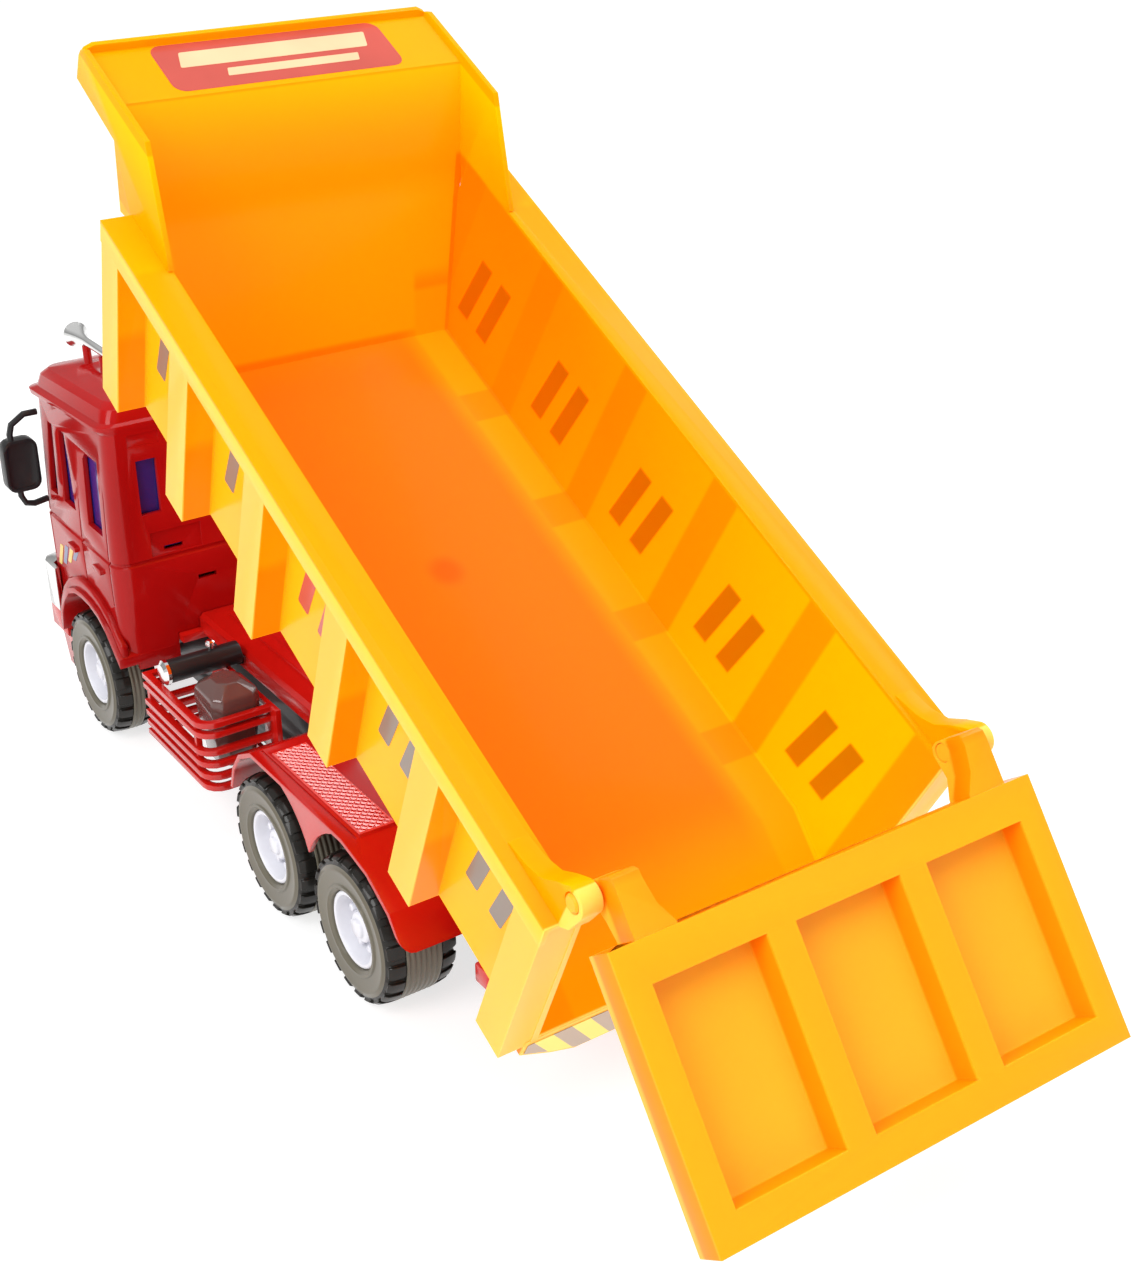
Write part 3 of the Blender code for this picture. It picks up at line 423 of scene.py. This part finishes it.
# Painted light: the outer panels, the posts' outer faces and the posts' rear faces are painted
# paler, where the light falls full on them.
panel = both(step_mask(wall, 0.0736, 0.0732), step_mask(wall, 0.0746, 0.0752), under_rail)
colour = paint(colour, panel, (1.0, 0.43, 0.004))
colour = paint(colour, both(step_mask(wall, 0.0872, 0.0868), under_rail), (1.0, 0.50, 0.05))
colour = paint(colour, step_mask(along, -0.0600, -0.0592), (1.0, 0.56, 0.09))
bed_links.new(colour, bed_shader.inputs["Base Color"])
# Painted light: the bed's colour is also sent out as a faint emission, a glow like light coming
# through the plastic, though it is no lamp.
bed_links.new(colour, bed_shader.inputs["Emission Color"])
bed_shader.inputs["Emission Strength"].default_value = 0.15
bed_shader.inputs["Roughness"].default_value = 0.3
bed_shader.inputs["Specular IOR Level"].default_value = 0.04
bed_shader.inputs["Coat Weight"].default_value = 0.03
bed_shader.inputs["Coat Roughness"].default_value = 0.08
bed_shader.inputs["Subsurface Weight"].default_value = 0.25
bed_shader.inputs["Subsurface Radius"].default_value = (0.006, 0.003, 0.001)
bed_shader.inputs["Subsurface Scale"].default_value = 1.0
round_edges("bed_tub", "tipping_bed", "dump_bed", bed_plastic, 0.0008)
bed_place = Matrix.Translation((-0.1157, 0, 0.0822)) @ Matrix.Rotation(-bed_tilt, 4, "Y")


def slab(name, corners, thick, body, look, width):
    """A flat outline pushed out by the thick vector, with its edges rounded."""
    outline = bpy.data.meshes.new(name)
    outline.from_pydata(corners, [], [tuple(range(len(corners)))])
    piece = bpy.data.objects.new(name, outline)
    bpy.context.scene.collection.objects.link(piece)
    bpy.ops.object.select_all(action="DESELECT")
    piece.select_set(True)
    bpy.context.view_layer.objects.active = piece
    bpy.ops.object.mode_set(mode="EDIT")
    bpy.ops.mesh.select_all(action="SELECT")
    bpy.ops.mesh.extrude_region_move(TRANSFORM_OT_translate={"value": thick})
    bpy.ops.mesh.select_all(action="SELECT")
    bpy.ops.mesh.normals_make_consistent(inside=False)
    bpy.ops.object.mode_set(mode="OBJECT")
    edge = piece.modifiers.new("Edge", "BEVEL")
    edge.width = width
    edge.segments = 4
    edge.limit_method = "ANGLE"
    edge.angle_limit = math.radians(50)
    bpy.ops.object.modifier_apply(modifier="Edge")
    bpy.ops.object.shade_smooth_by_angle(angle=math.radians(35))
    piece.data.materials.append(look)
    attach(piece, body)


# Cheek fillets: small plates that close the corner between each side wall and the headboard,
# just below the rail.
cheek = ((0.288, 0.078), (0.2972, 0.078), (0.3052, 0.096), (0.288, 0.096))
for side, word in ((1, "left"), (-1, "right")):
    corners = [bed_place @ Vector((u, side * 0.0802, w)) for u, w in cheek]
    slab("cheek_fillet_" + word, corners, (0, side * 0.0018, 0), "dump_bed",
         bed_plastic, 0.0003)

# Tailgate: a deeper orange frame, moulded separately and a little more opaque. Its thin panels are
# painted paler than the frame, as painted light through them, and the steps down to them darker, as
# painted shade.
gate_swing = math.radians(37.04)
gate_plastic = moulded_plastic("gate_plastic", (1.0, 0.37, 0.006), 0.3,
                               grain=0.03, cloud=0.04, coat=0.06, glow=0.2)
gate_nodes = gate_plastic.node_tree.nodes
gate_links = gate_plastic.node_tree.links
gate_shader = gate_nodes["Principled BSDF"]
gate_base = gate_shader.inputs["Base Color"].links[0].from_socket
gate_axes = gate_nodes.new("ShaderNodeMapping")
gate_axes.inputs["Rotation"].default_value = (0, -gate_swing, 0)
gate_axes.inputs["Location"].default_value = (0.26731, 0, 0.01080)
gate_where = gate_nodes.new("ShaderNodeTexCoord")
gate_split = gate_nodes.new("ShaderNodeSeparateXYZ")
gate_links.new(gate_where.outputs["Object"], gate_axes.inputs["Vector"])
gate_links.new(gate_axes.outputs["Vector"], gate_split.inputs["Vector"])
gate_depth = gate_nodes.new("ShaderNodeMapRange")
gate_depth.inputs["From Min"].default_value = -0.0145
gate_depth.inputs["From Max"].default_value = -0.0030
gate_links.new(gate_split.outputs["X"], gate_depth.inputs["Value"])
# Painted light and shade: this ramp over the gate's depth makes the thin panels paler and the steps
# down to them darker.
gate_ramp = gate_nodes.new("ShaderNodeValToRGB")
gate_ramp.color_ramp.elements[0].position = 0.10
gate_ramp.color_ramp.elements[0].color = (1.0, 0.38, 0.008, 1)
gate_ramp.color_ramp.elements[1].position = 0.98
gate_ramp.color_ramp.elements[1].color = (1.0, 0.45, 0.022, 1)
for place, shade in ((0.16, (1.0, 0.25, 0.0, 1)), (0.84, (1.0, 0.22, 0.0, 1))):
    gate_ramp.color_ramp.elements.new(place).color = shade
gate_links.new(gate_depth.outputs["Result"], gate_ramp.inputs["Fac"])
gate_mix = gate_nodes.new("ShaderNodeMix")
gate_mix.data_type = "RGBA"
gate_mix.inputs[0].default_value = 0.88
gate_links.new(gate_base, gate_mix.inputs[6])
gate_links.new(gate_ramp.outputs["Color"], gate_mix.inputs[7])
gate_links.new(gate_mix.outputs[2], gate_shader.inputs["Base Color"])
round_edges("tailgate", "tail_door", "tailgate", gate_plastic, 0.0010)
for word in ("left", "right"):
    node["tailgate_pin_" + word].data.materials.clear()
    node["tailgate_pin_" + word].data.materials.append(gate_plastic)

# Stickers on the bed: plain slanted bars on each side panel, a red label with two plain bars
# on the canopy and a strip of yellow and grey warning stripes across the rear skirt.
grey_print = moulded_plastic("grey_print", (0.21, 0.18, 0.15), 0.35, grain=0.02, coat=0.4)
red_print = moulded_plastic("red_print", (0.50, 0.075, 0.055), 0.32, grain=0.02, coat=0.4)
pale_print = moulded_plastic("pale_print", (0.80, 0.52, 0.30), 0.32, grain=0.02, coat=0.4)


def label(name, size, slant, corner, place, look,
          body="dump_bed", thick=0.00012):
    """A thin sticker: a plate with rounded corners, its top edge moved along by the slant."""
    bpy.ops.object.select_all(action="DESELECT")
    bpy.ops.mesh.primitive_plane_add(size=1.0, location=(0, 0, 0))
    piece = bpy.context.object
    piece.name = name
    bpy.ops.object.mode_set(mode="EDIT")
    bpy.ops.mesh.select_all(action="SELECT")
    bpy.ops.transform.resize(value=(size[0], size[1], 1.0), center_override=(0, 0, 0))
    bpy.ops.mesh.select_all(action="DESELECT")
    bpy.ops.object.mode_set(mode="OBJECT")
    for vertex in piece.data.vertices:
        vertex.select = vertex.co.y > 0
    bpy.ops.object.mode_set(mode="EDIT")
    bpy.ops.transform.translate(value=(slant, 0, 0))
    bpy.ops.mesh.select_all(action="SELECT")
    bpy.ops.transform.translate(value=(-slant / 2, 0, 0))
    if corner:
        bpy.ops.mesh.bevel(affect="VERTICES", offset=corner, segments=5, offset_type="OFFSET")
        bpy.ops.mesh.select_all(action="SELECT")
    bpy.ops.mesh.extrude_region_move(TRANSFORM_OT_translate={"value": (0, 0, thick)})
    bpy.ops.mesh.select_all(action="SELECT")
    bpy.ops.mesh.normals_make_consistent(inside=False)
    bpy.ops.object.mode_set(mode="OBJECT")
    piece.data.transform(place)
    piece.data.materials.append(look)
    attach(piece, body)
    return piece


for side, word in ((1, "left"), (-1, "right")):
    flat = Matrix(((-side, 0, 0), (0, side * 0.0802, side * 0.9968), (0, 0.9968, -0.0802))).to_4x4()
    for i in range(5):
        middle_u = bay_middle + bay_pitch * (3 - i)
        look = red_print if i == 2 else grey_print
        for k, shift in enumerate((-0.0085, 0.0085)):
            spot = Vector((middle_u + shift, side * (0.0743 + 0.0805 * 0.049), 0.049))
            place = bed_place @ Matrix.Translation(spot) @ flat
            label("bar_%s_%d_%d" % (word, i + 1, k + 1), (0.0085, 0.031), side * 0.0047, 0.0012,
                  place, look)
canopy = bed_place @ Matrix.Translation((0.3385, 0, 0.1320))
turned = canopy @ Matrix.Rotation(-math.pi / 2, 4, "Z")
label("canopy_label", (0.108, 0.0310), 0.0, 0.0055, turned, red_print)
wide_place = turned @ Matrix.Translation((0, 0.0045, 0.00012))
thin_place = turned @ Matrix.Translation((0.004, -0.0065, 0.00012))
label("canopy_bar_wide", (0.088, 0.0100), 0.003, 0.001, wide_place, pale_print)
label("canopy_bar_thin", (0.062, 0.0050), 0.0016, 0.0006, thin_place, pale_print)

warning = bpy.data.materials.new("warning_stripes")
warning.use_nodes = True
warning_nodes = warning.node_tree.nodes
warning_links = warning.node_tree.links
warning_where = warning_nodes.new("ShaderNodeTexCoord")
warning_turn = warning_nodes.new("ShaderNodeMapping")
warning_turn.inputs["Rotation"].default_value = (math.radians(38), 0, 0)
warning_wave = warning_nodes.new("ShaderNodeTexWave")
warning_wave.bands_direction = "Y"
warning_wave.inputs["Scale"].default_value = 24.0
warning_ramp = warning_nodes.new("ShaderNodeValToRGB")
warning_ramp.color_ramp.interpolation = "CONSTANT"
warning_ramp.color_ramp.elements[0].color = (0.46, 0.38, 0.29, 1)
warning_ramp.color_ramp.elements[1].position = 0.5
warning_ramp.color_ramp.elements[1].color = (1.0, 0.86, 0.14, 1)
warning_links.new(warning_where.outputs["Object"], warning_turn.inputs["Vector"])
warning_links.new(warning_turn.outputs["Vector"], warning_wave.inputs["Vector"])
warning_links.new(warning_wave.outputs["Fac"], warning_ramp.inputs["Fac"])
warning_shader = warning_nodes["Principled BSDF"]
warning_links.new(warning_ramp.outputs["Color"], warning_shader.inputs["Base Color"])
warning_shader.inputs["Roughness"].default_value = 0.35
strip_outline = [(-0.0750, 0.0005), (-0.0750, -0.0060), (-0.0590, -0.0160), (-0.0465, -0.0222)]
strip_outline += [(-y, z) for y, z in reversed(strip_outline)]
strip_curve = bpy.data.curves.new("warning_strip", "CURVE")
strip_curve.dimensions = "2D"
strip_curve.fill_mode = "BOTH"
strip_curve.extrude = 0.00008
strip_line = strip_curve.splines.new("POLY")
strip_line.points.add(len(strip_outline) - 1)
for point, (y, z) in zip(strip_line.points, strip_outline):
    point.co = (y, z, 0, 1)
strip_line.use_cyclic_u = True
strip = bpy.data.objects.new("warning_strip", strip_curve)
bpy.context.scene.collection.objects.link(strip)
bpy.ops.object.select_all(action="DESELECT")
strip.select_set(True)
bpy.context.view_layer.objects.active = strip
bpy.ops.object.convert(target="MESH")
strip = bpy.context.object
upright = Matrix(((0, 0, -1), (1, 0, 0), (0, 1, 0))).to_4x4()
strip.data.transform(bed_place @ Matrix.Translation((-0.06034, 0, 0)) @ upright)
bpy.ops.object.mode_set(mode="EDIT")
bpy.ops.mesh.select_all(action="SELECT")
bpy.ops.mesh.remove_doubles(threshold=0.000002)
bpy.ops.mesh.normals_make_consistent(inside=False)
bpy.ops.object.mode_set(mode="OBJECT")
strip.data.materials.append(warning)
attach(strip, "dump_bed")

# Door stickers: four slanted bars above each front wheel arch, printed in yellow and slate
# by turns. They get shorter and climb towards the back of the door.
slate_print = moulded_plastic("slate_print", (0.20, 0.21, 0.33), 0.3, grain=0.02, coat=0.3)
straw_print = moulded_plastic("straw_print", (0.72, 0.50, 0.12), 0.3, grain=0.02, coat=0.3)
for side, word in ((1, "left"), (-1, "right")):
    flat = Matrix(((-side, 0, 0), (0, 0, side), (0, 1, 0))).to_4x4()
    for i, tall in enumerate((0.013, 0.012, 0.010, 0.007)):
        look = (straw_print, slate_print)[i % 2]
        spot = Matrix.Translation((0.2740 - 0.0075 * i, side * 0.07605, 0.0865 + 0.0024 * i))
        label("door_bar_%s_%d" % (word, i + 1), (0.0042, tall), side * 0.006, 0.0008,
              spot @ flat, look, "chassis")

# Wheel arch flares: a rounded band that stands out from each cab side round the front arch
# and runs back as a ledge to the corner of the cab.
flare_top = [(0.1926, 0.0655), (0.1990, 0.0700), (0.2062, 0.0768), (0.2162, 0.0818)]
flare_top += [(0.2270, 0.0846), (0.2368, 0.0852), (0.2478, 0.0840), (0.2595, 0.0792)]
flare_top += [(0.2690, 0.0712), (0.2765, 0.0605), (0.2798, 0.0470)]
flare_low = [(0.2752, 0.0470), (0.2722, 0.0572), (0.2664, 0.0660), (0.2585, 0.0730)]
flare_low += [(0.2478, 0.0774), (0.2368, 0.0784), (0.2270, 0.0780), (0.2162, 0.0755)]
flare_low += [(0.2062, 0.0706), (0.1975, 0.0627), (0.1926, 0.0585)]
for side, word in ((1, "left"), (-1, "right")):
    corners = [(x, side * 0.0748, z) for x, z in flare_top + flare_low]
    slab("arch_flare_" + word, corners, (0, side * 0.0044, 0), "chassis",
         cab_red, 0.0016)

# Hubs: white dished mouldings with a raised boss and a ring of eight nuts, pressed on the
# axle ends.
white_plastic = moulded_plastic("white_plastic", (0.72, 0.72, 0.77), 0.28,
                                grain=0.02, cloud=0.03, coat=0.3)
nut_circle = 0.0104
for axle in ("front", "rear_1", "rear_2"):
    for side, word in ((1, "left"), (-1, "right")):
        source = "hub_%s_%s" % (axle, word)
        low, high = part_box(source)
        centre = Vector(((low.x + high.x) / 2, 0, (low.z + high.z) / 2))
        face = high.y if side > 0 else low.y
        depth = high.y - low.y
        profile = [(0.0, 0.0014), (0.0034, 0.0014), (0.0040, 0.0018), (0.0043, 0.0030)]
        profile += [(0.0062, 0.0032), (0.0068, 0.0038), (0.0072, 0.0076), (0.0080, 0.0084)]
        profile += [(0.0128, 0.0092), (0.0138, 0.0084), (0.0147, 0.0022), (0.0151, 0.0004)]
        profile += [(0.0157, 0.0), (0.0169, 0.0003), (0.0173, 0.0010), (0.0173, depth)]
        profile += [(0.0152, depth), (0.0152, 0.0120), (0.0060, 0.0120), (0.0060, depth)]
        profile += [(0.0024, depth), (0.0024, 0.0125), (0.0, 0.0125)]
        points = [(centre.x, face - side * t, centre.z + r) for r, t in profile]
        outline = bpy.data.meshes.new(source)
        outline.from_pydata(points, [(i, i + 1) for i in range(len(points) - 1)], [])
        hub = bpy.data.objects.new("moulded_" + source, outline)
        bpy.context.scene.collection.objects.link(hub)
        bpy.ops.object.select_all(action="DESELECT")
        hub.select_set(True)
        bpy.context.view_layer.objects.active = hub
        bpy.ops.object.mode_set(mode="EDIT")
        bpy.ops.mesh.select_all(action="SELECT")
        bpy.ops.mesh.spin(steps=56, angle=math.tau, center=centre, axis=(0, 1, 0))
        for i in range(8):
            turn = math.tau * (i + 0.5) / 8
            spot = centre + nut_circle * Vector((math.cos(turn), 0, math.sin(turn)))
            spot.y = face - side * 0.0074
            bpy.ops.mesh.primitive_cylinder_add(vertices=6, radius=0.0019, depth=0.0052,
                                                location=spot, rotation=(math.pi / 2, turn, 0))
        bpy.ops.mesh.select_all(action="SELECT")
        bpy.ops.mesh.remove_doubles(threshold=0.00001)
        bpy.ops.mesh.normals_make_consistent(inside=False)
        bpy.ops.object.mode_set(mode="OBJECT")
        edge = hub.modifiers.new("Edge", "BEVEL")
        edge.width = 0.0003
        edge.segments = 2
        edge.limit_method = "ANGLE"
        edge.angle_limit = math.radians(40)
        bpy.ops.object.modifier_apply(modifier="Edge")
        bpy.ops.object.shade_smooth_by_angle(angle=math.radians(35))
        hub.data.materials.append(white_plastic)
        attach(hub, "wheels_" + axle)
        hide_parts(source)

# Tyres: hollow black vinyl, pushed over the hubs. Chunky lugs alternate round both shoulders,
# and between them runs a smooth band with fine rings; the sidewall carries two low ribs.
# The vinyl is black, but its base colour is a light olive grey, a painted sheen; the faces marked
# as shoulder keep a near black.
tyre_vinyl = moulded_plastic("tyre_vinyl", (0.130, 0.118, 0.088), 0.36, grain=0.12, coat=0.35)
tyre_nodes = tyre_vinyl.node_tree.nodes
tyre_links = tyre_vinyl.node_tree.links
tyre_shader = tyre_nodes["Principled BSDF"]
shoulder_mark = tyre_nodes.new("ShaderNodeAttribute")
shoulder_mark.attribute_name = "shoulder"
shoulder_mix = tyre_nodes.new("ShaderNodeMix")
shoulder_mix.data_type = "RGBA"
shoulder_mix.inputs[7].default_value = (0.012, 0.011, 0.009, 1)
tyre_links.new(tyre_shader.inputs["Base Color"].links[0].from_socket, shoulder_mix.inputs[6])
tyre_links.new(shoulder_mark.outputs["Fac"], shoulder_mix.inputs[0])
tyre_links.new(shoulder_mix.outputs[2], tyre_shader.inputs["Base Color"])
tread_radius = 0.0335
lug_count = 22
steps_per_lug = 8


def tyre_profile(width):
    """(radius, distance in from the outer face) down the outer wall, over the tread and back."""
    half = [(0.0176, 0.0012), (0.0184, 0.0009), (0.0190, 0.0002), (0.0202, 0.0002)]
    half += [(0.0208, 0.0008), (0.0238, 0.0006), (0.0262, 0.0002), (0.0273, 0.0)]
    half += [(0.0277, 0.0005), (0.0290, 0.0008), (0.0303, 0.0016), (0.0313, 0.0030)]
    half += [(0.0318, 0.0058), (0.0320, 0.0084), (0.0334, 0.0086), (tread_radius, 0.0094)]
    rings = max(2, round((width - 0.019) / 0.0025))
    pitch = (width - 0.0188) / rings
    inner = []
    for ring in range(rings):
        for share, groove in ((0.2, 0.0), (0.35, 0.0005), (0.65, 0.0005), (0.8, 0.0)):
            inner.append((tread_radius - groove, 0.0094 + pitch * (ring + share)))
    return half + inner + [(r, width - t) for r, t in reversed(half)]


for axle, width in (("front", 0.0238), ("rear_1", 0.0338), ("rear_2", 0.0338)):
    for side, word in ((1, "left"), (-1, "right")):
        source = "tyre_%s_%s" % (axle, word)
        low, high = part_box(source)
        centre = Vector(((low.x + high.x) / 2, 0, (low.z + high.z) / 2))
        face = high.y if side > 0 else low.y
        profile = tyre_profile(width)
        points = [(centre.x, face - side * t, centre.z + r) for r, t in profile]
        ring = bpy.data.meshes.new(source)
        ring.from_pydata(points, [(i, (i + 1) % len(points)) for i in range(len(points))], [])
        tyre = bpy.data.objects.new("vinyl_" + source, ring)
        bpy.context.scene.collection.objects.link(tyre)
        bpy.ops.object.select_all(action="DESELECT")
        tyre.select_set(True)
        bpy.context.view_layer.objects.active = tyre
        bpy.ops.object.mode_set(mode="EDIT")
        bpy.ops.mesh.select_all(action="SELECT")
        stations = lug_count * steps_per_lug
        bpy.ops.mesh.spin(steps=stations, angle=math.tau, center=centre, axis=(0, 1, 0))
        bpy.ops.mesh.select_all(action="SELECT")
        bpy.ops.mesh.remove_doubles(threshold=0.00001)
        bpy.ops.mesh.normals_make_consistent(inside=False)
        bpy.ops.mesh.select_all(action="DESELECT")
        bpy.ops.object.mode_set(mode="OBJECT")
        for polygon in tyre.data.polygons:
            spot = polygon.center
            radius = math.hypot(spot.x - centre.x, spot.z - centre.z)
            depth = abs(spot.y - face)
            near = depth < width / 2
            depth = min(depth, width - depth)
            if not (0.0300 < radius < 0.0325 and 0.0014 < depth < 0.0088):
                continue
            turn = math.atan2(spot.z - centre.z, spot.x - centre.x) / math.tau * lug_count
            turn += 0.0 if near else 0.5
            polygon.select = (turn + 0.001) % 1.0 < 0.62
        bpy.ops.object.mode_set(mode="EDIT")
        bpy.ops.mesh.select_mode(type="FACE")
        bpy.ops.mesh.extrude_region_shrink_fatten(TRANSFORM_OT_shrink_fatten={"value": 0.0014})
        bpy.ops.object.mode_set(mode="OBJECT")
        edge = tyre.modifiers.new("Edge", "BEVEL")
        edge.width = 0.00025
        edge.segments = 1
        edge.limit_method = "ANGLE"
        edge.angle_limit = math.radians(50)
        bpy.ops.object.modifier_apply(modifier="Edge")
        bpy.ops.object.shade_smooth_by_angle(angle=math.radians(40))
        shade = tyre.data.attributes.new("shoulder", "FLOAT", "FACE")
        for i, polygon in enumerate(tyre.data.polygons):
            radius = math.hypot(polygon.center.x - centre.x, polygon.center.z - centre.z)
            depth = abs(polygon.center.y - face)
            on_shoulder = radius > 0.0292 and min(depth, width - depth) < 0.0087
            shade.data[i].value = 1.0 if on_shoulder else 0.0
        tyre.data.materials.append(tyre_vinyl)
        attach(tyre, "wheels_" + axle)
        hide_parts(source)
